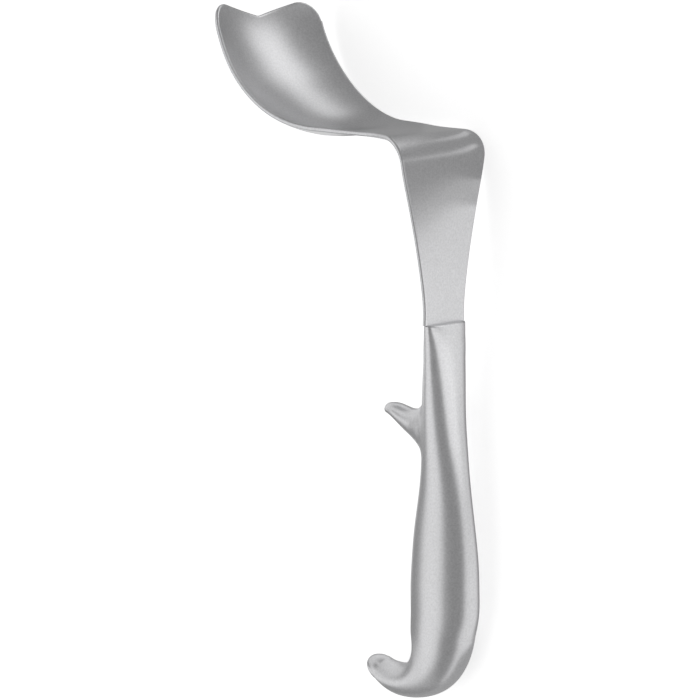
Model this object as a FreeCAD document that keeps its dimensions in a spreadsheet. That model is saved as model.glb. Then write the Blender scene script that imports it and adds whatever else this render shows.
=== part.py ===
import FreeCAD
import Part
import Sketcher
import math
import os
from FreeCAD import Matrix, Placement, Rotation, Vector

# Handheld retractor: one bent sheet blade with a spoon end, held by a hollow handle
# that is welded from a left and a right half shell.
# Upright frame: the handle runs along Z, its open end is at Z = 0 and the blade rises from it.
# The spoon, the finger rest and the hook point to -X, and Y runs across the blade.

SIZES = [
    # blade sheet
    ("sheet_thickness", 1.5),
    ("edge_ease", 0.6),
    ("edge_bevel", 0.42),
    ("shank_offset", -0.5),
    ("shank_lean", 0.75),
    ("shank_bow_radius", 300.0),
    ("shank_end_width", 18.8),
    ("shank_root_run", 5.0),
    ("shank_root_width", 18.7),
    ("shank_low_run", 3.5),
    ("shank_low_width", 20.3),
    ("shank_middle_run", 13.8),
    ("shank_middle_width", 25.6),
    ("shank_high_run", 13.6),
    ("shank_high_width", 32.3),
    ("shank_top_run", 12.1),
    ("shank_top_width", 38.3),
    ("bend_radius", 8.7),
    ("bend_angle", 86.7),
    ("bend_width", 39.5),
    ("bend_exit_width", 37.8),
    ("shelf_waist_run", 8.5),
    ("shelf_waist_width", 34.8),
    ("shelf_waist_depth", 0.3),
    ("shelf_middle_run", 10.1),
    ("shelf_middle_width", 39.0),
    ("shelf_middle_depth", 1.2),
    ("shelf_end_run", 10.7),
    ("shelf_end_width", 42.2),
    ("shelf_end_depth", 2.5),
    ("spoon_radius", 46.4),
    ("spoon_root_angle", 10.0),
    ("spoon_root_width", 45.2),
    ("spoon_root_depth", 4.2),
    ("spoon_heel_angle", 10.0),
    ("spoon_heel_width", 47.6),
    ("spoon_heel_depth", 5.2),
    ("spoon_belly_angle", 14.0),
    ("spoon_belly_width", 49.4),
    ("spoon_belly_depth", 5.5),
    ("spoon_waist_angle", 14.0),
    ("spoon_waist_width", 49.8),
    ("spoon_waist_depth", 5.5),
    ("spoon_neck_angle", 14.0),
    ("spoon_neck_width", 49.0),
    ("spoon_neck_depth", 5.4),
    ("spoon_end_angle", 21.0),
    ("spoon_end_width", 48.2),
    ("spoon_end_depth", 5.4),
    ("lobe_spacing", 34.6),
    ("lobe_height", 99.6),
    ("notch_depth", 4.35),
    ("notch_round", 2.5),
    ("lobe_round", 6.8),
    # tang
    ("tang_width", 14.4),
    ("tang_length", 22.0),
    ("tang_corner", 2.0),
    # handle, from its end to the hook
    ("handle_wall", 1.2),
    ("end_depth", 4.6),
    ("end_width", 17.6),
    ("end_fullness", 1.0),
    ("end_round", 0.6),
    ("brow_run", 4.0),
    ("brow_depth", 7.2),
    ("brow_width", 17.2),
    ("brow_fullness", 0.45),
    ("collar_run", 8.0),
    ("collar_depth", 10.1),
    ("collar_width", 16.6),
    ("throat_run", 9.0),
    ("throat_depth", 12.1),
    ("throat_width", 15.9),
    ("throat_setback", -0.15),
    ("nape_run", 10.0),
    ("nape_depth", 13.7),
    ("nape_width", 15.1),
    ("nape_setback", -0.15),
    ("neck_run", 10.0),
    ("neck_depth", 15.4),
    ("neck_width", 14.5),
    ("neck_setback", 0.3),
    ("waist_run", 9.0),
    ("waist_depth", 17.4),
    ("waist_width", 14.2),
    ("waist_setback", 0.6),
    ("flank_run", 10.0),
    ("flank_depth", 20.4),
    ("flank_width", 14.9),
    ("flank_setback", 0.65),
    ("swell_run", 9.0),
    ("swell_depth", 23.0),
    ("swell_width", 16.3),
    ("swell_setback", 0.65),
    ("palm_run", 10.0),
    ("palm_depth", 24.8),
    ("palm_width", 17.7),
    ("palm_setback", 0.8),
    ("heel_run", 9.0),
    ("heel_depth", 25.4),
    ("heel_width", 18.4),
    ("heel_setback", 0.8),
    ("rump_run", 8.0),
    ("rump_depth", 24.9),
    ("rump_width", 18.5),
    ("rump_setback", 0.8),
    ("seat_run", 7.0),
    ("seat_depth", 23.1),
    ("seat_width", 18.5),
    ("seat_setback", 0.05),
    ("hook_radius", 18.6),
    ("hook_entry_angle", 37.0),
    ("hook_entry_depth", 17.9),
    ("hook_entry_width", 16.5),
    ("hook_middle_angle", 31.6),
    ("hook_middle_depth", 12.5),
    ("hook_middle_width", 14.2),
    ("hook_exit_angle", 30.1),
    ("hook_exit_depth", 9.9),
    ("hook_exit_width", 11.8),
    ("lip_radius", 23.6),
    ("hook_lip_angle", 12.5),
    ("hook_lip_depth", 8.2),
    ("hook_lip_width", 10.2),
    ("hook_tip_length", 6.9),
    ("lip_length", 8.0),
    ("tang_clearance", 0.0),
    # finger rest, from its root in the grip to its tip
    ("rest_place", 34.8),
    ("rest_root_reach", 4.0),
    ("rest_root_height", 28.0),
    ("rest_root_width", 11.5),
    ("rest_base_run", 5.0),
    ("rest_base_height", 14.0),
    ("rest_base_width", 10.0),
    ("rest_base_rise", 0.0),
    ("rest_flare_run", 2.2),
    ("rest_flare_height", 10.9),
    ("rest_flare_width", 9.0),
    ("rest_flare_rise", 0.2),
    ("rest_neck_run", 2.6),
    ("rest_neck_height", 8.8),
    ("rest_neck_width", 8.4),
    ("rest_neck_rise", 0.8),
    ("rest_waist_run", 3.4),
    ("rest_waist_height", 7.1),
    ("rest_waist_width", 7.8),
    ("rest_waist_rise", 2.05),
    ("rest_beak_run", 4.8),
    ("rest_beak_height", 4.7),
    ("rest_beak_width", 6.7),
    ("rest_beak_rise", 3.8),
    ("rest_lip_run", 2.3),
    ("rest_lip_height", 2.8),
    ("rest_lip_width", 4.7),
    ("rest_lip_rise", 4.3),
    ("rest_tip_run", 1.0),
    ("rest_tip_height", 1.9),
    ("rest_tip_width", 2.4),
    ("rest_tip_rise", 4.1),
    # how it lies on the table
    ("lie_turn", -89.737),
    ("lie_pitch", 4.082),
    ("lie_roll", -86.307),
]

document = FreeCAD.newDocument("retractor")
sheet = document.addObject("Spreadsheet::Sheet", "sizes")
for row, (alias, value) in enumerate(SIZES, start=1):
    sheet.set("A%d" % row, alias.replace("_", " "))
    sheet.set("B%d" % row, str(value))
    sheet.setAlias("B%d" % row, alias)
document.recompute()


def size(alias):
    return float(sheet.get(alias))


def origin_plane(body, role):
    for feature in body.Origin.OriginFeatures:
        if feature.Role == role:
            return feature
    raise ValueError(role)


def new_sketch(body, name, role, offset=None):
    sketch = body.newObject("Sketcher::SketchObject", name)
    sketch.AttachmentSupport = [(origin_plane(body, role), "")]
    sketch.MapMode = "FlatFace"
    if offset is not None:
        sketch.AttachmentOffset = offset
    return sketch


def smooth_curve(points):
    curve = Part.BezierCurve()
    curve.setPoles([Vector(x, y, 0) for x, y in points])
    return curve.toBSpline()


def straight_curve(first, last):
    return Part.LineSegment(Vector(first[0], first[1], 0), Vector(last[0], last[1], 0)).toBSpline()


# A path in the XZ plane: straight runs and tangent arcs, followed by a point and a heading.
# The heading is the angle from +Z towards -X.
class Path:
    def __init__(self, x, z, heading):
        self.x = x
        self.z = z
        self.heading = heading
        self.edges = []

    def direction(self):
        angle = math.radians(self.heading)
        return Vector(-math.sin(angle), 0, math.cos(angle))

    def side(self):
        angle = math.radians(self.heading)
        return Vector(math.cos(angle), 0, math.sin(angle))

    def point(self):
        return Vector(self.x, 0, self.z)

    def run(self, length):
        start = self.point()
        end = start + self.direction() * length
        self.x = end.x
        self.z = end.z
        self.edges.append(("line", start, end))

    def arc(self, radius, angle, turn):
        # turn 1 swings towards -X from +Z, turn -1 swings back
        start = self.point()
        centre = start - self.side() * (radius * turn)
        ends = []
        for share in (0.5, 1.0):
            heading = math.radians(self.heading + turn * angle * share)
            ends.append(centre + Vector(math.cos(heading), 0, math.sin(heading)) * (radius * turn))
        self.heading = self.heading + turn * angle
        self.x = ends[1].x
        self.z = ends[1].z
        self.edges.append(("arc", start, ends[0], ends[1]))

    def frame(self):
        # local x runs along Y, local y to the side of the path, local z along it or against it
        x = Vector(0, 1, 0)
        y = self.side()
        z = x.cross(y)
        p = self.point()
        return Placement(Matrix(x.x, y.x, z.x, p.x, x.y, y.y, z.y, p.y, x.z, y.z, z.z, p.z, 0, 0, 0, 1))


def path_sketch(body, name, edges):
    sketch = new_sketch(body, name, "XZ_Plane")
    document.recompute()
    inverse = sketch.getGlobalPlacement().inverse()
    flat = [[inverse.multVec(p) for p in edge[1:]] for edge in edges]
    lines = []
    for edge, points in zip(edges, flat):
        if edge[0] == "line":
            lines.append(Part.LineSegment(points[0], points[1]))
        else:
            lines.append(Part.Arc(points[0], points[1], points[2]))
    sketch.addGeometry(lines, False)
    return sketch


# Cross-section of the sheet: a shallow channel between two eased edges.
# The rims of the channel lie on the path and its floor is lower by the depth.
def channel_section(body, name, frame, width, depth):
    sketch = new_sketch(body, name, "XY_Plane", frame)
    thickness = size("sheet_thickness")
    edge = size("edge_ease")
    half = width / 2 - edge
    if depth < 0.001:
        lean = 0.0
        floor = [(-half, 0), (-half / 3, 0), (half / 3, 0), (half, 0)]
        under = [(half, -thickness), (half / 3, -thickness), (-half / 3, -thickness), (-half, -thickness)]
    else:
        radius = (width * width / 4 + depth * depth) / (2 * depth)
        lean = math.asin(half / (radius + edge))
        middle = radius - depth
        floor = arc_poles(radius, lean, middle)
        under = [(-x, y) for x, y in arc_poles(radius + thickness, lean, middle)]
    along = (math.cos(lean), math.sin(lean))
    # each edge is eased: a narrow flat between two slopes
    ease = size("edge_ease")
    bevel = size("edge_bevel")
    outline = [
        floor[3],
        (floor[3][0] + ease * along[0] + bevel * along[1], floor[3][1] + ease * along[1] - bevel * along[0]),
        (under[0][0] + ease * along[0] - bevel * along[1], under[0][1] + ease * along[1] + bevel * along[0]),
        under[0],
    ]
    mirrored = [(-x, y) for x, y in reversed(outline)]
    curves = [smooth_curve(floor)]
    curves += [straight_curve(outline[index], outline[index + 1]) for index in range(3)]
    curves.append(smooth_curve(under))
    curves += [straight_curve(mirrored[index], mirrored[index + 1]) for index in range(3)]
    sketch.addGeometry(curves, False)
    return sketch


def arc_poles(radius, lean, middle):
    arm = radius * 4 / 3 * math.tan(lean / 2)
    x = radius * math.sin(lean)
    y = middle - radius * math.cos(lean)
    inner_x = x - arm * math.cos(lean)
    inner_y = y - arm * math.sin(lean)
    return [(-x, y), (-inner_x, inner_y), (inner_x, inner_y), (x, y)]


# Oval section drawn as a front and a back curve that meet at its left and right ends.
# With fullness 0 it is an ellipse, and with fullness 1 a squarer oval.
def oval_section(body, name, frame, half_width, half_depth, fullness, shift=0.0):
    sketch = new_sketch(body, name, "XY_Plane", frame)
    rise = 0.66826 + 0.68210 * fullness
    reach = 0.44199 - 0.02232 * fullness
    crown = 1.6 - rise / 2
    back = [(1, 0), (1, rise), (reach, crown), (-reach, crown), (-1, rise), (-1, 0)]
    front = [(-x, -y) for x, y in back]
    curves = []
    for points in (back, front):
        curves.append(smooth_curve([(x * half_width, y * half_depth + shift) for x, y in points]))
    sketch.addGeometry(curves, False)
    return sketch


def pipe(body, kind, name, path, sections):
    feature = body.newObject(kind, name)
    feature.Profile = sections[0]
    feature.Spine = (path, ["Edge%d" % number for number in range(1, path.GeometryCount + 1)])
    feature.Transformation = "Multisection"
    feature.Sections = sections[1:]
    document.recompute()
    return feature


# Blade

blade = document.addObject("PartDesign::Body", "blade")
blade.Label = "blade"

path = Path(size("shank_offset") + size("sheet_thickness") / 2, 0.0, 0.0)
stations = [(path.frame(), size("shank_end_width"), 0.0)]
# the root stands upright, then a slight bow leans the shank forward
path.run(size("shank_root_run"))
stations.append((path.frame(), size("shank_root_width"), 0.0))
path.arc(size("shank_bow_radius"), size("shank_lean"), 1)
lean_start = path.point()
for part in ("shank_low", "shank_middle", "shank_high", "shank_top"):
    path.run(size(part + "_run"))
    stations.append((path.frame(), size(part + "_width"), 0.0))
path.edges = path.edges[:2] + [("line", lean_start, path.point())]
bend_start = path.point()
path.arc(size("bend_radius"), size("bend_angle") / 2, 1)
stations.append((path.frame(), size("bend_width"), 0.0))
middle = path.point()
path.arc(size("bend_radius"), size("bend_angle") / 2, 1)
stations.append((path.frame(), size("bend_exit_width"), 0.0))
path.edges = path.edges[:3] + [("arc", bend_start, middle, path.point())]
shelf_start = path.point()
for part in ("shelf_waist", "shelf_middle", "shelf_end"):
    path.run(size(part + "_run"))
    stations.append((path.frame(), size(part + "_width"), size(part + "_depth")))
path.edges = path.edges[:4] + [("line", shelf_start, path.point())]
spoon_start = path.point()
spoon_points = []
for part in ("spoon_root", "spoon_heel", "spoon_belly", "spoon_waist", "spoon_neck", "spoon_end"):
    path.arc(size("spoon_radius"), size(part + "_angle"), -1)
    spoon_points.append(path.point())
    stations.append((path.frame(), size(part + "_width"), size(part + "_depth")))
path.edges = path.edges[:5] + [("arc", spoon_start, spoon_points[2], spoon_points[-1])]

centre_line = path_sketch(blade, "blade_path", path.edges)
sections = []
for number, (frame, width, depth) in enumerate(stations, start=1):
    sections.append(channel_section(blade, "blade_section_%d" % number, frame, width, depth))
blade_sheet = pipe(blade, "PartDesign::AdditivePipe", "bent_sheet", centre_line, sections)

# Bifid tip: what stands above the two lobes is cut away, straight through the spoon's end
tip = new_sketch(blade, "tip_outline", "YZ_Plane")
lobe_y = size("lobe_spacing") / 2
lobe_z = size("lobe_height") - size("lobe_round")
lobe_r = size("lobe_round")
notch_z = size("lobe_height") - size("notch_depth")
reach = math.hypot(lobe_y, lobe_z - notch_z)
touch = math.atan2(lobe_z - notch_z, lobe_y) + math.asin(lobe_r / reach)
flank = math.sqrt(reach * reach - lobe_r * lobe_r)
trim = size("notch_round") * math.tan(touch / 2)
side = size("spoon_waist_width")
ceiling = size("lobe_height") + size("spoon_radius") / 2


def across(y, z, sign):
    return Vector(y * sign, z, 0)


def lobe_point(angle, sign):
    return across(lobe_y + lobe_r * math.cos(angle), lobe_z + lobe_r * math.sin(angle), sign)


outline = []
for sign in (1, -1):
    top = math.pi / 2 + touch
    outline.append(Part.LineSegment(across(0, ceiling, sign), across(side, ceiling, sign)))
    outline.append(Part.LineSegment(across(side, ceiling, sign), across(side, lobe_z, sign)))
    outline.append(Part.LineSegment(across(side, lobe_z, sign), lobe_point(0, sign)))
    outline.append(Part.Arc(lobe_point(0, sign), lobe_point(top / 2, sign), lobe_point(top, sign)))
    near = across(trim * math.cos(touch), notch_z + trim * math.sin(touch), sign)
    outline.append(Part.LineSegment(lobe_point(top, sign), near))
low = notch_z + size("notch_round") * (1 / math.cos(touch) - 1)
y = trim * math.cos(touch)
z = notch_z + trim * math.sin(touch)
outline.append(Part.Arc(Vector(y, z, 0), Vector(0, low, 0), Vector(-y, z, 0)))
tip.addGeometry(outline, False)

tip_cut = blade.newObject("PartDesign::Pocket", "bifid_tip")
tip_cut.Profile = tip
tip_cut.Type = "ThroughAll"
tip_cut.Midplane = True
document.recompute()

# Tang: the sheet goes on into the handle, narrower than the shank, which leaves two shoulders
tang_profile = new_sketch(blade, "tang_profile", "XY_Plane")


def rectangle(sketch, margin):
    # the sheet's own section, centred on the shank's plane
    x = size("sheet_thickness") / 2 + margin
    y = size("tang_width") / 2 + margin
    points = [Vector(-x, -y, 0), Vector(x, -y, 0), Vector(x, y, 0), Vector(-x, y, 0)]
    for index in range(4):
        sketch.addGeometry(Part.LineSegment(points[index], points[(index + 1) % 4]), False)
    for index in range(4):
        sketch.addConstraint(Sketcher.Constraint("Coincident", index, 2, (index + 1) % 4, 1))
    sketch.addConstraint(Sketcher.Constraint("Horizontal", 0))
    sketch.addConstraint(Sketcher.Constraint("Horizontal", 2))
    sketch.addConstraint(Sketcher.Constraint("Vertical", 1))
    sketch.addConstraint(Sketcher.Constraint("Vertical", 3))
    sketch.addConstraint(Sketcher.Constraint("Symmetric", 0, 1, 2, 1, -1, 1))
    along = sketch.addConstraint(Sketcher.Constraint("DistanceX", 0, 1, 0, 2, 2 * x))
    wide = sketch.addConstraint(Sketcher.Constraint("DistanceY", 1, 1, 1, 2, 2 * y))
    extra = "" if margin == 0 else " + 2 * sizes.tang_clearance"
    sketch.setExpression("Constraints[%d]" % along, "sizes.sheet_thickness" + extra)
    sketch.setExpression("Constraints[%d]" % wide, "sizes.tang_width" + extra)
    sketch.setExpression("AttachmentOffset.Base.x", "sizes.shank_offset")


rectangle(tang_profile, 0)
tang = blade.newObject("PartDesign::Pad", "tang")
tang.Profile = tang_profile
tang.Reversed = True
tang.setExpression("Length", "sizes.tang_length")
document.recompute()


def edge_names(shape, test):
    names = []
    for index, edge in enumerate(shape.Edges, start=1):
        if test(edge):
            names.append("Edge%d" % index)
    return names


def is_tang_corner(edge):
    p = edge.CenterOfMass
    low_end = abs(p.z + size("tang_length")) < 0.001
    return low_end and abs(abs(p.y) - size("tang_width") / 2) < 0.001


tang_corners = blade.newObject("PartDesign::Fillet", "tang_corners")
tang_corners.Base = (tang, edge_names(tang.Shape, is_tang_corner))
tang_corners.setExpression("Radius", "sizes.tang_corner")
document.recompute()

# Handle


def handle_stations(wall):
    # walks down the grip and round the hook; wall 0 gives the outside, else the hollow inside
    path = Path(0.0, 0.0, 180.0)
    start = path.point()
    stations = []
    if wall > 0:
        # the hollow starts behind the solid lip, part of the way down the collar
        share = (size("lip_length") - size("brow_run")) / size("collar_run")
        wide = size("brow_width") * (1 - share) + size("collar_width") * share
        deep = size("brow_depth") * (1 - share) + size("collar_depth") * share
        full = size("brow_fullness") * (1 - share)
        path.run(size("lip_length"))
        start = path.point()
        stations.append((path.frame(), wide, deep, full, 0.0))
        path.run(size("brow_run") + size("collar_run") - size("lip_length"))
    else:
        stations.append((path.frame(), size("end_width"), size("end_depth"), size("end_fullness"), 0.0))
        path.run(size("brow_run"))
        stations.append((path.frame(), size("brow_width"), size("brow_depth"), size("brow_fullness"), 0.0))
        path.run(size("collar_run"))
    stations.append((path.frame(), size("collar_width"), size("collar_depth"), 0.0, 0.0))
    for part in ("throat", "nape", "neck", "waist", "flank", "swell", "palm", "heel", "rump", "seat"):
        path.run(size(part + "_run"))
        setback = size(part + "_setback")
        stations.append((path.frame(), size(part + "_width"), size(part + "_depth"), 0.0, setback))
    edges = [("line", start, path.point())]
    for radius, parts in (("hook_radius", ("hook_entry", "hook_middle", "hook_exit")), ("lip_radius", ("hook_lip",))):
        first = path.point()
        total = sum(size(part + "_angle") for part in parts)
        probe = Path(path.x, path.z, path.heading)
        probe.arc(size(radius), total / 2, -1)
        for part in parts:
            path.arc(size(radius), size(part + "_angle"), -1)
            stations.append((path.frame(), size(part + "_width"), size(part + "_depth"), 0.0, 0.0))
        edges.append(("arc", first, probe.point(), path.point()))
    if wall == 0:
        # rounded end of the hook: the sections shrink as those of a dome
        first = path.point()
        done = 0.0
        for share, scale in ((0.4, 0.9165), (0.7, 0.714), (0.9, 0.436), (0.98, 0.199)):
            path.run(size("hook_tip_length") * (share - done))
            done = share
            stations.append((path.frame(), size("hook_lip_width") * scale, size("hook_lip_depth") * scale, 0.0, 0.0))
        edges.append(("line", first, path.point()))
    halves = []
    for frame, wide, deep, full, setback in stations:
        halves.append((frame, wide / 2 - wall, deep / 2 - wall, full, -setback))
    stations = halves
    return path, edges, stations


def rest_stations(wall):
    # walks from inside the grip out to the tip of the finger rest
    x = -size("rest_root_reach") + wall
    z = -size("rest_place")
    stations = []
    for part in ("root", "base", "flare", "neck", "waist", "beak", "lip", "tip"):
        if part != "root":
            x = x - size("rest_%s_run" % part)
        rise = 0.0 if part == "root" else size("rest_%s_rise" % part)
        half_width = size("rest_%s_width" % part) / 2 - wall
        half_height = size("rest_%s_height" % part) / 2 - wall
        if half_width < wall / 2 or half_height < wall / 2:
            break
        spot = Path(x, z, 90.0)
        stations.append((spot.frame(), half_width, half_height, rise))
    edges = [("line", Vector(-size("rest_root_reach") + wall, 0, z), Vector(stations[-1][0].Base.x, 0, z))]
    return edges, stations


def handle_half(name, sign):
    body = document.addObject("PartDesign::Body", name)
    body.Label = name
    path, edges, stations = handle_stations(0.0)
    spine = path_sketch(body, name + "_path", edges)
    sections = []
    for number, (frame, wide, deep, full, shift) in enumerate(stations, start=1):
        sections.append(oval_section(body, "%s_section_%d" % (name, number), frame, wide, deep, full, shift))
    pipe(body, "PartDesign::AdditivePipe", name + "_grip", spine, sections)

    edges, stations = rest_stations(0.0)
    spine = path_sketch(body, name + "_rest_path", edges)
    sections = []
    for number, (frame, wide, high, rise) in enumerate(stations, start=1):
        sections.append(oval_section(body, "%s_rest_%d" % (name, number), frame, wide, high, 0.0, rise))
    base = pipe(body, "PartDesign::AdditivePipe", name + "_finger_rest", spine, sections)

    def is_end_edge(edge):
        box = edge.BoundBox
        return abs(box.ZMax) < 0.001 and abs(box.ZMin) < 0.001

    rim = body.newObject("PartDesign::Fillet", name + "_end_round")
    rim.Base = (base, edge_names(base.Shape, is_end_edge))
    rim.setExpression("Radius", "sizes.end_round")
    document.recompute()

    wall = size("handle_wall")
    path, edges, stations = handle_stations(wall)
    spine = path_sketch(body, name + "_cavity_path", edges)
    sections = []
    for number, (frame, wide, deep, full, shift) in enumerate(stations, start=1):
        sections.append(oval_section(body, "%s_cavity_%d" % (name, number), frame, wide, deep, full, shift))
    pipe(body, "PartDesign::SubtractivePipe", name + "_cavity", spine, sections)

    edges, stations = rest_stations(wall)
    spine = path_sketch(body, name + "_rest_cavity_path", edges)
    sections = []
    for number, (frame, wide, high, rise) in enumerate(stations, start=1):
        sections.append(oval_section(body, "%s_rest_cavity_%d" % (name, number), frame, wide, high, 0.0, rise))
    pipe(body, "PartDesign::SubtractivePipe", name + "_rest_cavity", spine, sections)

    slot = new_sketch(body, name + "_socket_profile", "XY_Plane")
    rectangle(slot, size("tang_clearance"))
    socket = body.newObject("PartDesign::Pocket", name + "_socket")
    socket.Profile = slot
    socket.setExpression("Length", "sizes.tang_length + sizes.tang_clearance")
    document.recompute()

    other = new_sketch(body, name + "_parting", "XZ_Plane")
    far = 1000.0
    corners = [Vector(-far, -far, 0), Vector(far, -far, 0), Vector(far, far, 0), Vector(-far, far, 0)]
    for index in range(4):
        other.addGeometry(Part.LineSegment(corners[index], corners[(index + 1) % 4]), False)
    half = body.newObject("PartDesign::Pocket", name + "_half")
    half.Profile = other
    half.Type = "ThroughAll"
    half.Reversed = sign > 0
    document.recompute()
    return body


left = handle_half("handle_shell_left", -1)
right = document.addObject("Part::Mirroring", "handle_shell_right")
right.Label = "handle_shell_right"
right.Source = left
right.Base = Vector(0, 0, 0)
right.Normal = Vector(0, 1, 0)
document.recompute()

# It lies on its right side on a table: turned as one, then centred with its lowest point at Z = 0
turn = Rotation(size("lie_turn"), size("lie_pitch"), size("lie_roll"))
boxes = []
for body in (blade, left, right):
    shape = body.Shape.copy()
    shape.Placement = Placement(Vector(0, 0, 0), turn)
    boxes.append(shape.optimalBoundingBox())
low_x = min(box.XMin for box in boxes)
high_x = max(box.XMax for box in boxes)
low_y = min(box.YMin for box in boxes)
high_y = max(box.YMax for box in boxes)
low_z = min(box.ZMin for box in boxes)
rest = Placement(Vector(-(low_x + high_x) / 2, -(low_y + high_y) / 2, -low_z), turn)
blade.Placement = rest
left.Placement = rest
right.Base = rest.Base
right.Normal = turn.multVec(Vector(0, 1, 0))
document.recompute()

bodies = [blade, left, right]
for item in document.Objects:
    if "Invalid" in item.State or "Error" in item.State:
        raise RuntimeError("not built: " + item.Name)
os.makedirs("parts", exist_ok=True)
for body in bodies:
    shape = body.Shape
    if shape.isNull() or not shape.isValid() or len(shape.Solids) != 1:
        raise RuntimeError("bad shape: " + body.Label)
    print(body.Label, round(shape.Volume, 2), shape.BoundBox)
for body in bodies:
    body.Shape.exportStep("parts/%s.step" % body.Label)
print("placed at", [round(value, 5) for value in (rest.Base.x, rest.Base.y, rest.Base.z)])
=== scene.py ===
"""Handheld surgical retractor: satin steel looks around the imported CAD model.

The forms are worked out in millimetres in the upright frame (handle along Z, its flat end at
Z = 0, blade above it, spoon, finger rest and hook towards -X, Y across the blade), and then
laid on the table as the CAD model lies.
"""
import math

import bpy
import numpy as np
from mathutils import Matrix, Vector


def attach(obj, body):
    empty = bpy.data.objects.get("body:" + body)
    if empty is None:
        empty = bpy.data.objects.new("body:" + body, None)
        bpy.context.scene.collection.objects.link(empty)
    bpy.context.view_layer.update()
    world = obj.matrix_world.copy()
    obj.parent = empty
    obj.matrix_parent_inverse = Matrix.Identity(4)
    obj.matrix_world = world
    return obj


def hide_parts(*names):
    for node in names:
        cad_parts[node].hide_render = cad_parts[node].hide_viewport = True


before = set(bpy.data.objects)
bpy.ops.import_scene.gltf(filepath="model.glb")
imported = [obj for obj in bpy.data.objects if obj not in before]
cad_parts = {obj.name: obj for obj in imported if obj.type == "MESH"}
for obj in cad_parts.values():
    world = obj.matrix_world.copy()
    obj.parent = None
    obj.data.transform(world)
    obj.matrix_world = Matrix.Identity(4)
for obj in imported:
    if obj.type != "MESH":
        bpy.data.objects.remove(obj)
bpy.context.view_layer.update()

# How the retractor lies: turn, pitch and roll in degrees, then the shift in millimetres
LIE_TURN = -89.737
LIE_PITCH = 4.082
LIE_ROLL = -86.307
LIE_SHIFT = np.array((12.99875, -36.80756, 15.90042))
MM_PER_METRE = 1000.0
ROUNDING = 1e-9


def turned(angle, first, second):
    """Rotation by so many degrees from the first axis towards the second."""
    cosine = math.cos(math.radians(angle))
    sine = math.sin(math.radians(angle))
    matrix = np.eye(3)
    matrix[first, first] = cosine
    matrix[second, second] = cosine
    matrix[second, first] = sine
    matrix[first, second] = -sine
    return matrix


LIE = turned(LIE_TURN, 0, 1) @ turned(LIE_PITCH, 2, 0) @ turned(LIE_ROLL, 1, 2)


def placed(points):
    """Upright millimetres to lying metres."""
    return (np.asarray(points, float) @ LIE.T + LIE_SHIFT) / MM_PER_METRE


def arc_length(angle, radius):
    return math.radians(angle) * radius


def spline(stations, values, where):
    """Natural cubic spline through the values, read at the places asked for."""
    x = np.asarray(stations, float)
    y = np.asarray(values, float)
    gap = np.diff(x)
    count = len(x)
    matrix = np.eye(count)
    right = np.zeros(count)
    for i in range(1, count - 1):
        matrix[i, i - 1] = gap[i - 1]
        matrix[i, i] = 2 * (gap[i - 1] + gap[i])
        matrix[i, i + 1] = gap[i]
        right[i] = 6 * ((y[i + 1] - y[i]) / gap[i] - (y[i] - y[i - 1]) / gap[i - 1])
    bend = np.linalg.solve(matrix, right)
    where = np.clip(np.asarray(where, float), x[0], x[-1])
    i = np.clip(np.searchsorted(x, where) - 1, 0, count - 2)
    left = (x[i + 1] - where) / gap[i]
    share = (where - x[i]) / gap[i]
    curve = ((left ** 3 - left) * bend[i] + (share ** 3 - share) * bend[i + 1]) * gap[i] ** 2 / 6
    return left * y[i] + share * y[i + 1] + curve


def linked(name, data):
    """New object with this data, in the scene."""
    thing = bpy.data.objects.new(name, data)
    bpy.context.scene.collection.objects.link(thing)
    return thing


def new_piece(name, points, faces, material, sharp):
    """Smooth piece, creased where it turns by more than so many degrees."""
    mesh = bpy.data.meshes.new(name)
    mesh.from_pydata([tuple(p) for p in points], [], faces)
    mesh.validate()
    mesh.polygons.foreach_set("use_smooth", [True] * len(mesh.polygons))
    mesh.set_sharp_from_angle(angle=math.radians(sharp))
    mesh.materials.append(material)
    return linked(name, mesh)


def new_material(name):
    """Material with nodes, and its shader."""
    material = bpy.data.materials.new(name)
    material.use_nodes = True
    return material, material.node_tree.nodes["Principled BSDF"]


def calculated(tree, operation, *values):
    """Result of a Math node, from numbers or other nodes' results."""
    node = tree.nodes.new("ShaderNodeMath")
    node.operation = operation
    for socket, value in zip(node.inputs, values):
        if isinstance(value, (int, float)):
            socket.default_value = value
        else:
            tree.links.new(value, socket)
    return node.outputs["Value"]


# Satin steel: a fine grain in colour, roughness and bump, and broad clouds in roughness.
# Scales are in waves to a metre, and the bump's height in metres
GRAIN_SCALE = 1600.0
GRAIN_DETAIL = 3.0
GRAIN_TINT = 0.22
GRAIN_ROUGHNESS = 0.05
GRAIN_BUMP = 0.12
GRAIN_HEIGHT = 0.00005
CLOUD_SCALE = 60.0
CLOUD_DETAIL = 2.0
CLOUD_ROUGHNESS = 0.02


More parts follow.
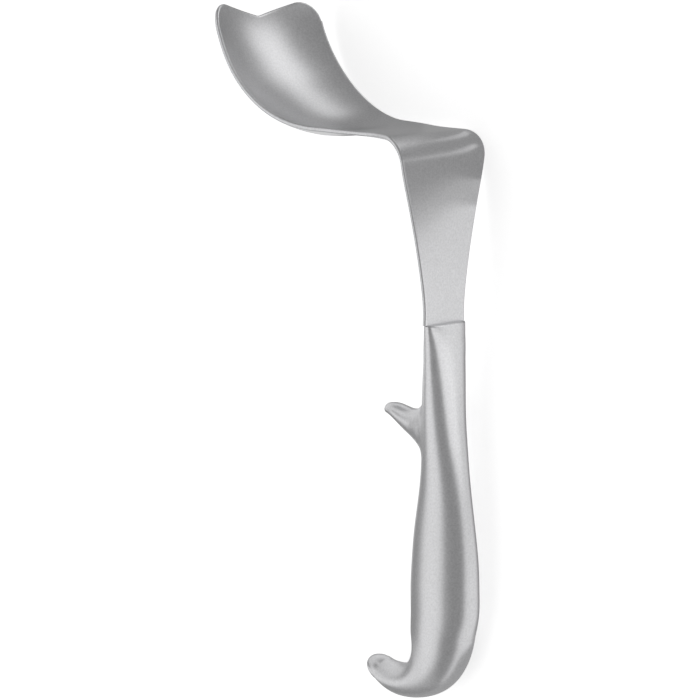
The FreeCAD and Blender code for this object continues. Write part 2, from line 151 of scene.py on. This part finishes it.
def steel(name, colour, roughness):
    material, shader = new_material(name)
    tree = material.node_tree
    shader.inputs["Metallic"].default_value = 1.0
    place = tree.nodes.new("ShaderNodeTexCoord")

    def noise(scale, detail):
        texture = tree.nodes.new("ShaderNodeTexNoise")
        texture.inputs["Scale"].default_value = scale
        texture.inputs["Detail"].default_value = detail
        tree.links.new(place.outputs["Object"], texture.inputs["Vector"])
        return texture.outputs["Fac"]

    def spread(source, middle, reach):
        ramp = tree.nodes.new("ShaderNodeMapRange")
        ramp.inputs["To Min"].default_value = middle - reach
        ramp.inputs["To Max"].default_value = middle + reach
        tree.links.new(source, ramp.inputs["Value"])
        return ramp.outputs["Result"]

    grain = noise(GRAIN_SCALE, GRAIN_DETAIL)
    cloud = noise(CLOUD_SCALE, CLOUD_DETAIL)
    tint = tree.nodes.new("ShaderNodeMix")
    tint.data_type = "RGBA"
    for socket, factor in (("A", 1 - GRAIN_TINT), ("B", 1 + GRAIN_TINT)):
        tint.inputs[socket].default_value = (*[part * factor for part in colour], 1)
    tree.links.new(grain, tint.inputs["Factor"])
    tree.links.new(tint.outputs["Result"], shader.inputs["Base Color"])
    fine = spread(grain, 0.0, GRAIN_ROUGHNESS)
    broad = spread(cloud, roughness, CLOUD_ROUGHNESS)
    tree.links.new(calculated(tree, "ADD", fine, broad), shader.inputs["Roughness"])
    bump = tree.nodes.new("ShaderNodeBump")
    bump.inputs["Strength"].default_value = GRAIN_BUMP
    bump.inputs["Distance"].default_value = GRAIN_HEIGHT
    tree.links.new(grain, bump.inputs["Height"])
    tree.links.new(bump.outputs["Normal"], shader.inputs["Normal"])
    return material


# Blade: one sheet, and the line that its rim follows in straight runs and arcs, from the
# handle's end up, as length and radius. A radius of 0 is straight, below 0 it turns back
SHEET = 1.5
BLADE_SETBACK = 0.5
BLADE_START = SHEET / 2 - BLADE_SETBACK
BOW_RADIUS = 300.0
BOW_LENGTH = arc_length(0.75, BOW_RADIUS)
BEND_RADIUS = 8.7
BEND_LENGTH = arc_length(86.7, BEND_RADIUS)
SPOON_RADIUS = 46.4
BLADE_RUNS = [
    (5.0, 0.0),
    (BOW_LENGTH, BOW_RADIUS),
    (43.0, 0.0),
    (BEND_LENGTH, BEND_RADIUS),
    (29.3, 0.0),
    (arc_length(83.0, SPOON_RADIUS), -SPOON_RADIUS),
]
# Its sections, as run, width and the hollow's depth
BLADE_SECTIONS = [
    (0.0, 18.8, 0.0),
    (5.0, 18.7, 0.0),
    (BOW_LENGTH + 3.5, 20.3, 0.0),
    (13.8, 25.6, 0.0),
    (13.6, 32.3, 0.0),
    (12.1, 38.3, 0.0),
    (BEND_LENGTH / 2, 39.5, 0.0),
    (BEND_LENGTH / 2, 37.8, 0.0),
    (8.5, 34.8, 0.3),
    (10.1, 39.0, 1.2),
    (10.7, 42.2, 2.5),
    (arc_length(10.0, SPOON_RADIUS), 45.2, 4.2),
    (arc_length(10.0, SPOON_RADIUS), 47.6, 5.2),
    (arc_length(14.0, SPOON_RADIUS), 49.4, 5.5),
    (arc_length(14.0, SPOON_RADIUS), 49.8, 5.5),
    (arc_length(14.0, SPOON_RADIUS), 49.0, 5.4),
    (arc_length(21.0, SPOON_RADIUS), 48.2, 5.4),
]
blade_runs, blade_widths, blade_depths = zip(*BLADE_SECTIONS)
blade_stations = np.cumsum(blade_runs)
HOLLOW_START = blade_stations[7]
TIP_START = blade_stations[14]
BLADE_LENGTH = blade_stations[-1]
# The depth that stands for flat, which keeps the section's circle finite
FLAT = 0.0005

# Outline of the notched tip: two lobes and a rounded notch, drawn across and up
LOBE_HEIGHT = 99.6
LOBE_ROUND = 6.8
LOBE_SIDE = 24.1
NOTCH_DROP = 4.35
NOTCH_ROUND = 2.5

# Tang, inside the handle
TANG_HALF = 7.2
TANG_LENGTH = 22.0
TANG_GAP = 0.02
BOX_FACES = ((3, 2, 1, 0), (4, 5, 6, 7), (0, 1, 5, 4), (1, 2, 6, 5), (2, 3, 7, 6), (3, 0, 4, 7))

# Fineness of the blade's mesh
COLUMNS = 90
SHANK_ROWS = 300
TIP_ROWS = 130
EDGE_STEPS = 8
HALVINGS = 40
STEP_ALONG = 0.02
STEP_ACROSS = 0.001


def blade_path(along):
    """Point and heading of the rim's line at a length along it."""
    along = np.asarray(along, float)
    x = np.zeros_like(along)
    z = np.zeros_like(along)
    heading = np.zeros_like(along)
    at = np.array((BLADE_START, 0.0))
    angle = 0.0
    done = 0.0
    for length, radius in BLADE_RUNS:
        here = (along >= done - ROUNDING) & (along <= done + length + ROUNDING)
        part = along[here] - done
        if radius == 0:
            way = np.array((-math.sin(angle), math.cos(angle)))
            x[here] = at[0] + way[0] * part
            z[here] = at[1] + way[1] * part
            heading[here] = angle
            at = at + way * length
        else:
            centre = at - np.array((math.cos(angle), math.sin(angle))) * radius
            swung = angle + part / radius
            x[here] = centre[0] + np.cos(swung) * radius
            z[here] = centre[1] + np.sin(swung) * radius
            heading[here] = swung
            angle = angle + length / radius
            at = centre + np.array((math.cos(angle), math.sin(angle))) * radius
        done += length
    return x, z, heading


def sheet_middle(across, along):
    """Middle surface of the sheet: across runs from -1 to 1 between the edges' centres."""
    width = spline(blade_stations, blade_widths, along)
    depth = np.maximum(spline(blade_stations, blade_depths, along), FLAT)
    depth = np.where(along < HOLLOW_START, FLAT, depth)
    inner = (width ** 2 / 4 + depth ** 2) / (2 * depth)
    middle = inner + SHEET / 2
    lean = np.arcsin((width / 2) / (inner + SHEET))
    reach = (width / 2 - SHEET / 2 * np.cos(lean)) / middle
    swing = across * np.arcsin(np.clip(reach, -1, 1))
    x, z, heading = blade_path(along)
    sag = (inner - depth) - middle * np.cos(swing)
    return np.stack((x + np.cos(heading) * sag, middle * np.sin(swing), z + np.sin(heading) * sag), -1)


def tip_limit(side, inset):
    """Height of the tip's outline at a distance from the middle, moved inwards by the inset."""
    side = np.abs(side)
    radius = LOBE_ROUND - inset
    lobe_y = LOBE_SIDE - LOBE_ROUND
    lobe_z = LOBE_HEIGHT - LOBE_ROUND
    notch_z = LOBE_HEIGHT - NOTCH_DROP
    rise = lobe_z - notch_z
    slope = math.atan2(rise, lobe_y) + math.asin(LOBE_ROUND / math.hypot(lobe_y, rise))
    flank_y = lobe_y - radius * math.sin(slope)
    flank = notch_z - inset / math.cos(slope) + side * math.tan(slope)
    lobe = lobe_z + np.sqrt(np.maximum(radius ** 2 - (side - lobe_y) ** 2, 0))
    limit = np.where(side < flank_y, flank, lobe)
    fillet = NOTCH_ROUND + inset
    floor_z = notch_z - inset / math.cos(slope) + fillet / math.cos(slope)
    rounded = floor_z - np.sqrt(np.maximum(fillet ** 2 - side ** 2, 0))
    return np.where(side < fillet * math.sin(slope), rounded, limit)


def blade_grid():
    """Middle surface and its normals, in rows up the sheet and columns across it."""
    across = np.sin(np.linspace(-1, 1, COLUMNS + 1) * math.pi / 2)
    # each column ends where it meets the tip's outline
    first = np.full(COLUMNS + 1, TIP_START)
    last = np.full(COLUMNS + 1, BLADE_LENGTH)
    for _ in range(HALVINGS):
        half = (first + last) / 2
        point = sheet_middle(across, half)
        inside = point[:, 2] < tip_limit(point[:, 1], SHEET / 2)
        first = np.where(inside, half, first)
        last = np.where(inside, last, half)
    end = (first + last) / 2
    low = np.repeat(np.linspace(0, TIP_START, SHANK_ROWS)[:, None], COLUMNS + 1, 1)
    high = TIP_START + (end - TIP_START) * np.linspace(0, 1, TIP_ROWS)[1:, None]
    along = np.concatenate((low, high))
    across = np.broadcast_to(across, along.shape)
    # normals by small steps along and across, pointing to the hollow side
    ahead = sheet_middle(across, np.minimum(along + STEP_ALONG, BLADE_LENGTH))
    behind = sheet_middle(across, np.maximum(along - STEP_ALONG, 0))
    right = sheet_middle(across + STEP_ACROSS, along)
    left = sheet_middle(across - STEP_ACROSS, along)
    normal = np.cross(right - left, ahead - behind)
    normal /= np.linalg.norm(normal, axis=-1, keepdims=True)
    return sheet_middle(across, along), normal


def blade_mesh():
    middle, normal = blade_grid()
    rows = len(middle)
    size = rows * (COLUMNS + 1)
    half = SHEET / 2
    points = [(middle + normal * half).reshape(-1, 3), (middle - normal * half).reshape(-1, 3)]

    def at(row, column, layer):
        return layer * size + row * (COLUMNS + 1) + column

    faces = []
    for row in range(rows - 1):
        for column in range(COLUMNS):
            a = at(row, column, 0)
            b = at(row, column + 1, 0)
            c = at(row + 1, column + 1, 0)
            d = at(row + 1, column, 0)
            faces.append((a, b, c, d))
            faces.append((d + size, c + size, b + size, a + size))
    # rounded edge, swept up the right side, over the tip and down the left side
    chain = [(row, COLUMNS) for row in range(rows)]
    chain += [(rows - 1, column) for column in range(COLUMNS - 1, -1, -1)]
    chain += [(row, 0) for row in range(rows - 2, -1, -1)]
    count = len(chain)
    line = np.array([middle[row, column] for row, column in chain])
    up = np.array([normal[row, column] for row, column in chain])
    out = np.cross(np.gradient(line, axis=0), up)
    out /= np.linalg.norm(out, axis=1, keepdims=True)
    if out[0, 1] < 0:
        out = -out
    for k in range(1, EDGE_STEPS):
        angle = math.pi * k / EDGE_STEPS
        points.append(line + (up * math.cos(angle) + out * math.sin(angle)) * half)

    def rim(index, k):
        if k == 0:
            return at(*chain[index], 0)
        if k == EDGE_STEPS:
            return at(*chain[index], 1)
        return 2 * size + (k - 1) * count + index

    for index in range(count - 1):
        for k in range(EDGE_STEPS):
            faces.append((rim(index, k), rim(index, k + 1), rim(index + 1, k + 1), rim(index + 1, k)))
    # lower end, which stands on the handle's end
    bottom = [at(0, column, 0) for column in range(COLUMNS + 1)]
    bottom += [rim(0, k) for k in range(1, EDGE_STEPS)]
    bottom += [at(0, column, 1) for column in range(COLUMNS, -1, -1)]
    bottom += [rim(count - 1, k) for k in range(EDGE_STEPS - 1, 0, -1)]
    faces.append(tuple(bottom))
    # tang
    base = sum(len(part) for part in points)
    back = BLADE_START - SHEET
    around = ((back, -TANG_HALF), (BLADE_START, -TANG_HALF), (BLADE_START, TANG_HALF), (back, TANG_HALF))
    points.append([(x, y, z) for z in (-TANG_LENGTH, -TANG_GAP) for x, y in around])
    faces += [tuple(base + corner for corner in face) for face in BOX_FACES]
    return np.concatenate(points), faces


# Handle: sections from its end to the hook's tip, as run, depth, width, setback and corner power
HOOK_RADIUS = 18.6
LIP_RADIUS = 23.6
GRIP = [
    (0.0, 4.6, 17.6, 0.0, 3.0),
    (4.0, 7.2, 17.2, 0.0, 2.34),
    (8.0, 10.1, 16.6, 0.0, 2.0),
    (9.0, 12.1, 15.9, -0.15, 2.0),
    (10.0, 13.7, 15.1, -0.15, 2.0),
    (10.0, 15.4, 14.5, 0.3, 2.0),
    (9.0, 17.4, 14.2, 0.6, 2.0),
    (10.0, 20.4, 14.9, 0.65, 2.0),
    (9.0, 23.0, 16.3, 0.65, 2.0),
    (10.0, 24.8, 17.7, 0.8, 2.0),
    (9.0, 25.4, 18.4, 0.8, 2.0),
    (8.0, 24.9, 18.5, 0.8, 2.0),
    (7.0, 23.1, 18.5, 0.05, 2.0),
]
HOOK = [
    (arc_length(37.0, HOOK_RADIUS), 17.9, 16.5, 0.0, 2.0),
    (arc_length(31.6, HOOK_RADIUS), 12.5, 14.2, 0.0, 2.0),
    (arc_length(30.1, HOOK_RADIUS), 9.9, 11.8, 0.0, 2.0),
]
LIP = (arc_length(12.5, LIP_RADIUS), 8.2, 10.2, 0.0, 2.0)
TIP_LENGTH = 6.9
TIP_REACH = 9.0
END_ROUND = 0.6

GRIP_LENGTH = sum(row[0] for row in GRIP)
HOOK_LENGTH = sum(row[0] for row in HOOK)
HOOK_ANGLE = HOOK_LENGTH / HOOK_RADIUS
LIP_ANGLE = LIP[0] / LIP_RADIUS
grip_runs, grip_depths, grip_widths, grip_setbacks, grip_powers = zip(*GRIP, *HOOK, LIP)
grip_stations = np.cumsum(grip_runs)

# Finger rest: sections from its root in the grip outwards, as run, height, width and rise
REST_LEVEL = -34.8
REST_START = 4.0
REST = [
    (0.0, 28.0, 11.5, 0.0),
    (5.0, 14.0, 10.0, 0.0),
    (2.2, 10.9, 9.0, 0.2),
    (2.6, 8.8, 8.4, 0.8),
    (3.4, 7.1, 7.8, 2.05),
    (4.8, 4.7, 6.7, 3.8),
    (2.0, 3.7, 5.2, 4.0),
]
REST_DOME = 1.25
REST_BLEND = 1.4
rest_runs, rest_heights, rest_widths, rest_rises = zip(*REST)
rest_stations = REST_START + np.cumsum(rest_runs)

# A distance that stands for nothing near, the overlap of the grip and the hook, and the least
# slope that the ovals are divided by
FAR = 50.0
OVERLAP = 1e-6
FLATTEST = 1e-3


def oval(across, side, half_width, half_depth, power, beyond=0.0):
    """Signed distance, near enough, to a section's oval."""
    a = np.abs(across) / half_width
    b = np.abs(side) / half_depth
    total = a ** power + b ** power + beyond ** 2
    q = np.maximum(total, ROUNDING) ** (1 / power)
    slope_a = (a / q) ** (power - 1) / half_width
    slope_b = (b / q) ** (power - 1) / half_depth
    slope = np.sqrt(slope_a ** 2 + slope_b ** 2)
    return (q - 1) / np.maximum(slope, FLATTEST)


def section_distance(along, across, side):
    depth = spline(grip_stations, grip_depths, along) / 2
    width = spline(grip_stations, grip_widths, along) / 2
    setback = spline(grip_stations, grip_setbacks, along)
    power = np.interp(along, grip_stations, grip_powers)
    return oval(across, side + setback, width, depth, power)


def arc_distance(p, centre, radius, start, angle, done):
    """Distance to a part that turns round a centre in the middle plane."""
    dx = p[:, 0] - centre[0]
    dz = p[:, 2] - centre[1]
    swing = np.arctan2(-dz, dx)
    here = (swing >= start) & (swing <= start + angle)
    along = done + (swing - start) * radius
    return np.where(here, section_distance(along, p[:, 1], radius - np.hypot(dx, dz)), FAR)


def inwards(angle):
    """Direction to the hook's centre, where the hook has turned by this angle."""
    return np.array((-math.cos(angle), math.sin(angle)))


def blended(a, b, reach):
    share = np.clip(0.5 + 0.5 * (b - a) / reach, 0, 1)
    return b + (a - b) * share - reach * share * (1 - share)


def handle_field(p):
    """Distance to the handle's skin, negative inside."""
    x = p[:, 0]
    y = p[:, 1]
    z = p[:, 2]
    grip = section_distance(np.clip(-z, 0, GRIP_LENGTH), y, -x)
    grip = np.where(z < -GRIP_LENGTH - OVERLAP, FAR, grip)
    centre = np.array((-HOOK_RADIUS, -GRIP_LENGTH))
    hook = arc_distance(p, centre, HOOK_RADIUS, 0.0, HOOK_ANGLE, GRIP_LENGTH)
    # the lip goes on round a wider arc, and ends in half an ellipsoid
    centre = centre + inwards(HOOK_ANGLE) * (LIP_RADIUS - HOOK_RADIUS)
    lip = arc_distance(p, centre, LIP_RADIUS, HOOK_ANGLE, LIP_ANGLE, GRIP_LENGTH + HOOK_LENGTH)
    angle = HOOK_ANGLE + LIP_ANGLE
    side = inwards(angle)
    joint = centre - side * LIP_RADIUS
    ahead = -(x - joint[0]) * math.sin(angle) - (z - joint[1]) * math.cos(angle)
    beside = (x - joint[0]) * side[0] + (z - joint[1]) * side[1]
    dome = oval(y, beside, LIP[2] / 2, LIP[1] / 2, LIP[4], np.clip(ahead, 0, None) / TIP_LENGTH)
    here = (ahead >= 0) & (ahead < 2 * TIP_LENGTH) & (np.abs(beside) < TIP_REACH)
    dome = np.where(here, dome, FAR)
    best = np.minimum(np.minimum(grip, hook), np.minimum(lip, dome))
    # finger rest
    out = np.clip(-x, rest_stations[0], rest_stations[-1])
    height = spline(rest_stations, rest_heights, out) / 2
    width = spline(rest_stations, rest_widths, out) / 2
    rise = spline(rest_stations, rest_rises, out)
    beyond = np.clip(-x - rest_stations[-1], 0, None) / REST_DOME
    rest = oval(y, z - REST_LEVEL - rise, width, height, 2.0, beyond)
    rest = np.where(-x < rest_stations[0], FAR, rest)
    best = blended(best, rest, REST_BLEND)
    # flat end with a rounded lip
    return -blended(-best, -z, END_ROUND)


# How a skin's points are settled on the zero level
SETTLINGS = 4
PROBE = 0.01
LEAST_SLOPE = 0.05
LONGEST_MOVE = 0.3


def field_skin(field, xs, ys, zs):
    """Closed skin where the field is zero: one point to a cell that it crosses."""
    shape = (len(xs), len(ys), len(zs))
    grid = np.stack(np.meshgrid(xs, ys, zs, indexing="ij"), -1)
    value = field(grid.reshape(-1, 3)).reshape(shape)
    inside = value < 0
    total = np.zeros(tuple(n - 1 for n in shape) + (3,))
    count = np.zeros(tuple(n - 1 for n in shape))
    crossings = []
    for axis in range(3):
        first = [slice(None)] * 3
        second = [slice(None)] * 3
        first[axis] = slice(0, -1)
        second[axis] = slice(1, None)
        first = tuple(first)
        second = tuple(second)
        crossed = inside[first] != inside[second]
        share = value[first] / np.where(crossed, value[first] - value[second], 1.0)
        point = grid[first] + (grid[second] - grid[first]) * share[..., None]
        others = [i for i in range(3) if i != axis]
        for shift in ((0, 0), (0, 1), (1, 0), (1, 1)):
            take = [slice(None)] * 3
            for other, start in zip(others, shift):
                take[other] = slice(start, start + shape[other] - 1)
            take = tuple(take)
            total += np.where(crossed[take][..., None], point[take], 0)
            count += crossed[take]
        crossings.append((axis, others, crossed))
    cells = count > 0
    number = np.full(count.shape, -1)
    number[cells] = np.arange(cells.sum())
    points = total[cells] / count[cells][:, None]
    faces = []
    for axis, (a, b), crossed in crossings:
        where = np.argwhere(crossed)
        where = where[(where[:, a] > 0) & (where[:, b] > 0)]
        where = where[(where[:, a] < shape[a] - 1) & (where[:, b] < shape[b] - 1)]
        corners = []
        for back_a, back_b in ((1, 1), (0, 1), (0, 0), (1, 0)):
            cell = where.copy()
            cell[:, a] -= back_a
            cell[:, b] -= back_b
            corners.append(number[tuple(cell.T)])
        quads = np.stack(corners, 1)
        flip = inside[tuple(where.T)]
        if axis == 1:
            flip = ~flip
        quads[~flip] = quads[~flip][:, ::-1]
        faces.append(quads)
    probes = np.eye(3) * PROBE
    for _ in range(SETTLINGS):
        slope = np.stack([field(points + probe) - field(points - probe) for probe in probes], 1)
        slope /= 2 * PROBE
        steep = np.maximum((slope ** 2).sum(1), LEAST_SLOPE)
        move = np.clip(field(points) / steep, -LONGEST_MOVE, LONGEST_MOVE)
        points = points - slope * move[:, None]
    return points, [tuple(int(i) for i in face) for face in np.concatenate(faces)]


BLADE_CREASE = 40.0
blade_steel = steel("blade_steel_satin", (0.60, 0.60, 0.61), 0.32)
points, faces = blade_mesh()
blade = new_piece("notched_blade", placed(points), faces, blade_steel, BLADE_CREASE)
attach(blade, "root")
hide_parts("blade")

# The handle's cells are finer up and down near its flat end
CELL = 0.4
END_CELL = 0.14
END_ZONE = -1.6
HANDLE_CREASE = 60.0
HANDLE_LOW = (-38.0, -10.6, -130.0)
HANDLE_HIGH = (15.0, 10.8, 0.5)
depthwise = np.arange(HANDLE_LOW[0], HANDLE_HIGH[0], CELL)
sideways = np.arange(HANDLE_LOW[1], HANDLE_HIGH[1], CELL)
body_levels = np.arange(HANDLE_LOW[2], END_ZONE, CELL)
end_levels = np.arange(END_ZONE, HANDLE_HIGH[2], END_CELL)
upwards = np.concatenate((body_levels, end_levels))
handle_steel = steel("handle_steel_satin", (0.62, 0.62, 0.63), 0.34)
points, faces = field_skin(handle_field, depthwise, sideways, upwards)
handle = new_piece("hollow_handle", placed(points), faces, handle_steel, HANDLE_CREASE)
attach(handle, "root")
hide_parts("handle_shell_left", "handle_shell_right")

# Camera: a long lens from the front left, a little above, turned with the lying retractor
CAMERA_AROUND = math.radians(45.0)
CAMERA_ABOVE = math.radians(9.5)
CAMERA_FAR = 800.0
MM_PER_PIXEL = 0.32
PICTURE = 700
AXIS_PIXEL = (444.7, 323.0)
SENSOR = 36.0
CLIP_END = 20.0
AIMINGS = 30
toward = np.array((
    math.cos(CAMERA_ABOVE) * math.sin(CAMERA_AROUND),
    -math.cos(CAMERA_ABOVE) * math.cos(CAMERA_AROUND),
    math.sin(CAMERA_ABOVE),
))
rightward = np.array((math.cos(CAMERA_AROUND), math.sin(CAMERA_AROUND), 0.0))
upward = np.cross(toward, rightward)
focal = CAMERA_FAR / MM_PER_PIXEL
target = -(AXIS_PIXEL[0] - PICTURE / 2) * MM_PER_PIXEL * rightward
for _ in range(AIMINGS):
    # moves the target until the handle's end stands at its pixel
    distance = CAMERA_FAR + target @ toward
    seen_x = PICTURE / 2 - focal * (target @ rightward) / distance
    seen_y = PICTURE / 2 + focal * (target @ upward) / distance
    target = target + np.array((0, 0, -(seen_y - AXIS_PIXEL[1]) * MM_PER_PIXEL))
    target = target + (seen_x - AXIS_PIXEL[0]) * MM_PER_PIXEL * rightward
lens = bpy.data.cameras.new("camera")
lens.sensor_width = SENSOR
lens.lens = SENSOR * focal / PICTURE
lens.clip_end = CLIP_END
camera = linked("camera", lens)
axes = np.stack((LIE @ rightward, LIE @ upward, LIE @ toward), 1)
pose = Matrix([list(row) for row in axes]).to_4x4()
pose.translation = Vector(placed(target + toward * CAMERA_FAR))
camera.matrix_world = pose
bpy.context.scene.camera = camera


def paper(name, shade):
    """Matt paper whose glow is white and takes its strength from the caller."""
    material, shader = new_material(name)
    shader.inputs["Base Color"].default_value = (shade, shade, shade, 1)
    shader.inputs["Specular IOR Level"].default_value = 0.0
    shader.inputs["Emission Color"].default_value = (1, 1, 1, 1)
    return material, shader


def stage_sheet(name, corners, faces, material):
    mesh = bpy.data.meshes.new(name)
    mesh.from_pydata(corners, [], faces)
    mesh.materials.append(material)
    sheet = linked(name, mesh)
    return sheet


# Floor: pale paper that is white to the eye and still takes a soft shadow. The steel mirrors
# the world's panels through it
FLOOR_HALF = 3.0
FLOOR_SHADE = 0.9
FLOOR_ROUGHNESS = 0.9
FLOOR_GLOW = 0.62
material, shader = paper("floor_paper", FLOOR_SHADE)
shader.inputs["Roughness"].default_value = FLOOR_ROUGHNESS
tree = material.node_tree
path = tree.nodes.new("ShaderNodeLightPath")
seen = calculated(tree, "MAXIMUM", path.outputs["Is Camera Ray"], path.outputs["Is Glossy Ray"])
tree.links.new(calculated(tree, "MULTIPLY", seen, FLOOR_GLOW), shader.inputs["Emission Strength"])
corners = [(x * FLOOR_HALF, y * FLOOR_HALF, 0) for x, y in ((-1, -1), (1, -1), (1, 1), (-1, 1))]
floor = stage_sheet("floor", corners, [(0, 1, 2, 3)], material)
floor.visible_glossy = False

# World: white to the eye, and for the steel a dim studio with soft panels, given by angles
# round the upright retractor as the camera sees it: (from, to, softness) to the right,
# (from, to, softness) upwards, strength
STUDIO_LEVEL = 0.36
PANELS = [
    ((-106, -44, 18), (-45, 10, 20), 0.76),
    ((-160, -84, 20), (12, 54, 14), 0.50),
    ((-110, -62, 20), (-100, -45, 20), 0.25),
    ((36, 130, 20), (-100, 6, 10), 0.69),
    ((73, 106, 7), (22, 60, 8), 1.15),
    ((104, 122, 8), (40, 60, 8), 0.65),
    ((100, 165, 10), (57, 71, 7), 0.95),
]
world = bpy.data.worlds.new("world")
world.use_nodes = True
bpy.context.scene.world = world
tree = world.node_tree
place = tree.nodes.new("ShaderNodeTexCoord")


def along_axis(axis):
    """How far the view into the world goes along an axis of the upright retractor."""
    node = tree.nodes.new("ShaderNodeVectorMath")
    node.operation = "DOT_PRODUCT"
    tree.links.new(place.outputs["Generated"], node.inputs[0])
    node.inputs[1].default_value = tuple(float(v) for v in LIE @ axis)
    return node.outputs["Value"]


def in_degrees(source):
    return calculated(tree, "MULTIPLY", source, 180 / math.pi)


def eased(source, middle, soft):
    """Rises from 0 to 1 round the middle."""
    node = tree.nodes.new("ShaderNodeMapRange")
    node.interpolation_type = "SMOOTHSTEP"
    node.inputs["From Min"].default_value = middle - soft / 2
    node.inputs["From Max"].default_value = middle + soft / 2
    tree.links.new(source, node.inputs["Value"])
    return node.outputs["Result"]


def window(source, start, end, soft):
    """1 between the start and the end, with soft edges."""
    return calculated(tree, "SUBTRACT", eased(source, start, soft), eased(source, end, soft))


around = in_degrees(calculated(tree, "ARCTAN2", along_axis(rightward), along_axis(toward)))
above = in_degrees(calculated(tree, "ARCSINE", along_axis(upward)))
level = STUDIO_LEVEL
for breadth, height, strength in PANELS:
    patch = calculated(tree, "MULTIPLY", window(around, *breadth), window(above, *height))
    level = calculated(tree, "ADD", calculated(tree, "MULTIPLY", patch, strength), level)
path = tree.nodes.new("ShaderNodeLightPath")
level = calculated(tree, "MAXIMUM", level, path.outputs["Is Camera Ray"])
tree.links.new(level, tree.nodes["Background"].inputs["Strength"])
tree.nodes["Background"].inputs["Color"].default_value = (1, 1, 1, 1)

# Cards round the retractor, seen only in its steel. Those just above the floor have their
# outline in millimetres from the middle of the frame, then height and strength
FLOOR_CARDS = [
    (
        [(-8, -190), (10, -110), (36, -70), (50, -48), (51, -5), (108, -5), (112, -60), (150, -190)],
        0.3,
        0.68,
    ),
    (
        [(8, -190), (22, -110), (47, -70), (59, -48), (58, -5), (108, -5), (112, -60), (150, -190)],
        0.6,
        0.42,
    ),
    (
        [(64, -130), (68, -80), (71.5, -55), (71, -36), (74, -36), (75.5, -55), (74, -80), (70, -130)],
        0.9,
        0.85,
    ),
    ([(76, -30), (95, -37), (98, -32), (77, -26)], 0.9, 0.75),
    ([(-190, 20), (-112, 20), (-82, -40), (-112, -66), (-130, -80), (-190, -60)], 0.3, 0.5),
]
# The others stand round the handle's middle line: angles to the right as the camera sees it,
# distance, lowest and highest edge, strength
ROUND_CARDS = [
    ((19, 76), 60.0, (-43.0, 14.0), 1.30),
    ((76, 114), 60.0, (-16.0, 24.0), 1.10),
    ((-165, -118), 130.0, (-60.0, 120.0), 0.95),
    ((168, 205), 60.0, (2.0, 55.0), 1.10),
    ((-140, -96), 65.0, (-150.0, -127.0), 1.00),
    ((-112, -45), 140.0, (45.0, 200.0), 1.00),
    ((155, 215), 55.0, (-104.0, -55.0), 1.00),
]
CARD_STRIPS = 12


def light_card(name, corners, faces, strength):
    material, shader = paper(name, 0)
    shader.inputs["Emission Strength"].default_value = strength
    corners = [tuple(float(v) for v in corner) for corner in corners]
    card = stage_sheet(name, corners, faces, material)
    card.visible_camera = False
    card.visible_diffuse = False
    card.visible_shadow = False


for index, (outline, height, strength) in enumerate(FLOOR_CARDS):
    corners = np.array([(x, y, height) for x, y in outline]) / MM_PER_METRE
    light_card(f"floor_card_{index + 1}", corners, [tuple(range(len(corners)))], strength)
forward = np.array((toward[0], toward[1], 0.0))
forward /= np.linalg.norm(forward)
for index, (swings, distance, heights, strength) in enumerate(ROUND_CARDS):
    corners = []
    for swing in np.radians(np.linspace(swings[0], swings[1], CARD_STRIPS + 1)):
        side = math.sin(swing) * rightward + math.cos(swing) * forward
        corners += [side * distance + np.array((0, 0, height)) for height in heights]
    faces = [(2 * i, 2 * i + 1, 2 * i + 3, 2 * i + 2) for i in range(CARD_STRIPS)]
    light_card(f"round_card_{index + 1}", placed(corners), faces, strength)

bpy.context.scene.view_settings.view_transform = "Standard"
